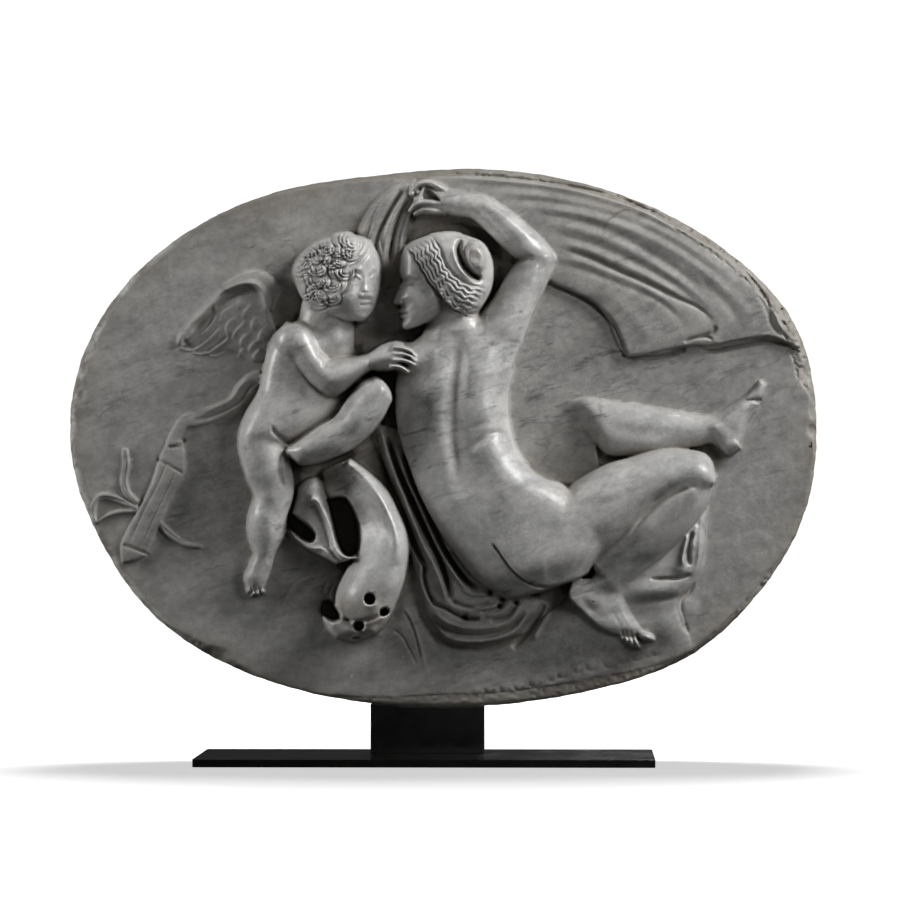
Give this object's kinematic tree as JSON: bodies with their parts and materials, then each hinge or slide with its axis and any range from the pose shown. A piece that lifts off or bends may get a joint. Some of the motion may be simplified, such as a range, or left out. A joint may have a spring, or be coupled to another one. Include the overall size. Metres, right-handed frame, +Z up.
{
  "type": "marble relief plaque on a display stand",
  "caption": "Oval carved marble relief of a seated woman seen from behind and a winged child, with blown cloth and a dolphin, standing on a low black steel display stand.",
  "frame": {"origin": "on the floor, under the middle of the whole part", "axes": "+Z up; +X along the plaque's width, to the right of someone facing the carving; the carving looks along -Y"},
  "size_m": [0.995, 0.2, 0.7867],
  "materials": {
    "marble": "honed and weathered",
    "steel": "gloss black"
  },
  "bodies": {
    "root": {"marble_plaque": "marble", "stand_foot": "steel", "stand_upright": "steel"}
  },
  "joints": []
}
